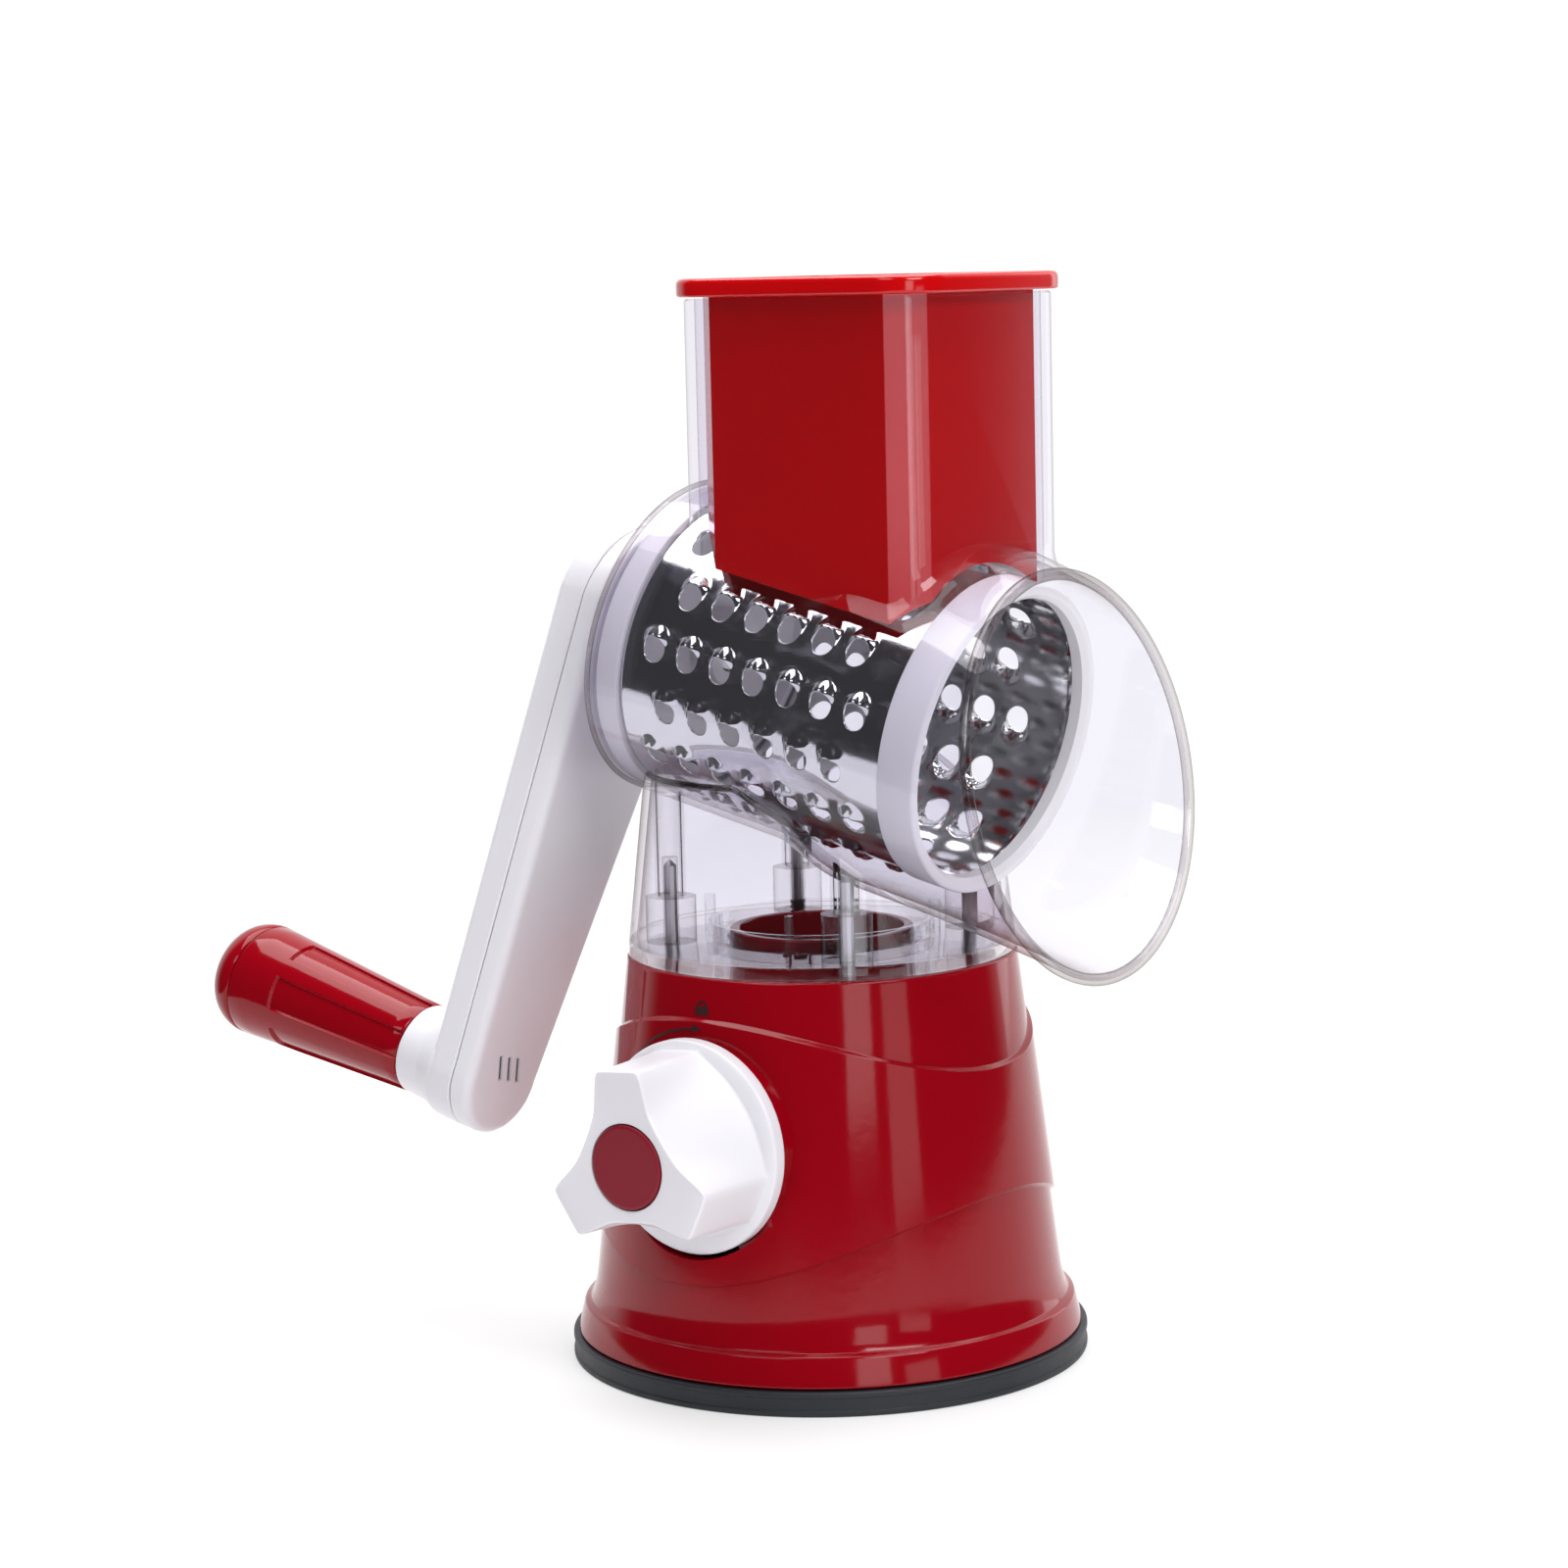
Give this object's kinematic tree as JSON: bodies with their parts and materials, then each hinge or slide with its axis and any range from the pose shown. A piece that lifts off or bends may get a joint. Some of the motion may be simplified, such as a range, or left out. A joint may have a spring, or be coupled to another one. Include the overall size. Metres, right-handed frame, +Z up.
{
  "type": "rotary cheese grater",
  "caption": "Hand-cranked tabletop drum grater: suction base with lock knob, clear housing with feed chute and flared outlet, perforated drum, pusher, and crank with a grip.",
  "frame": {"origin": "on the base's vertical axis, at the table", "axes": "+Z up, +X the way the drum's outlet faces, -Y the side with the lock knob; the crank is at -X"},
  "size_m": [0.2466, 0.1404, 0.256],
  "materials": {
    "red": "glossy",
    "bright_red": "glossy",
    "white": "semi-gloss",
    "clear": "transparent, polished",
    "grey": "matt",
    "black_rubber": "matt",
    "steel": "polished",
    "zinc": "zinc plated"
  },
  "bodies": {
    "stand": {"suction_pad": "black_rubber", "pad_retainer": "grey", "base_shell": "red", "clear_deck": "clear", "clear_housing": "clear", "rear_bush": "white", "retainer_screw_1": "zinc", "retainer_screw_2": "zinc", "retainer_screw_3": "zinc", "retainer_screw_4": "zinc", "housing_screw_1": "zinc", "housing_screw_2": "zinc", "housing_screw_3": "zinc", "housing_screw_4": "zinc"},
    "knob": {"lock_knob": "white", "knob_cap": "red", "knob_screw": "zinc", "cam_shaft": "grey", "lift_cam": "white"},
    "lifter": {"lift_yoke": "white", "pull_stud": "zinc", "lock_nut": "zinc"},
    "crank": {"crank_arm_outer": "white", "crank_arm_inner": "white", "arm_screw_1": "zinc", "arm_screw_2": "zinc", "drive_shaft": "zinc", "shaft_screw": "zinc", "handle_pin": "zinc", "grip_screw": "zinc"},
    "grip": {"grip_sleeve": "red", "grip_end_cap": "red"},
    "drum": {"drum_barrel": "steel", "drum_front_ring": "white", "drum_rear_cap": "white"},
    "feed_pusher": {"pusher": "bright_red"}
  },
  "joints": [
    {"name": "knob_turn", "type": "hinge", "parent": "stand", "child": "knob", "pos_m": [0, 0, 0.059], "axis": [0, 1, 0], "range_deg": [0, 90]},
    {"name": "suction_lift", "type": "slide", "parent": "stand", "child": "lifter", "axis": [0, 0, 1], "range_m": [0, 0.004], "deforming": ["suction_pad"]},
    {"name": "crank_spin", "type": "hinge", "parent": "stand", "child": "crank", "pos_m": [0, 0, 0.1619], "axis": [0.9744, 0, -0.225], "continuous": true},
    {"name": "grip_spin", "type": "hinge", "parent": "crank", "child": "grip", "pos_m": [-0.12317, -0.03087, 0.07292], "axis": [0.9744, 0, -0.225], "continuous": true},
    {"name": "drum_slide", "type": "slide", "parent": "crank", "child": "drum", "axis": [0.9744, 0, -0.225], "range_m": [0, 0.13]},
    {"name": "pusher_slide", "type": "slide", "parent": "stand", "child": "feed_pusher", "axis": [0, 0, 1], "range_m": [0, 0.11]}
  ],
  "couplings": [
    {"joint": "suction_lift", "follows": "knob_turn", "m_per_rad": 0.002546}
  ]
}
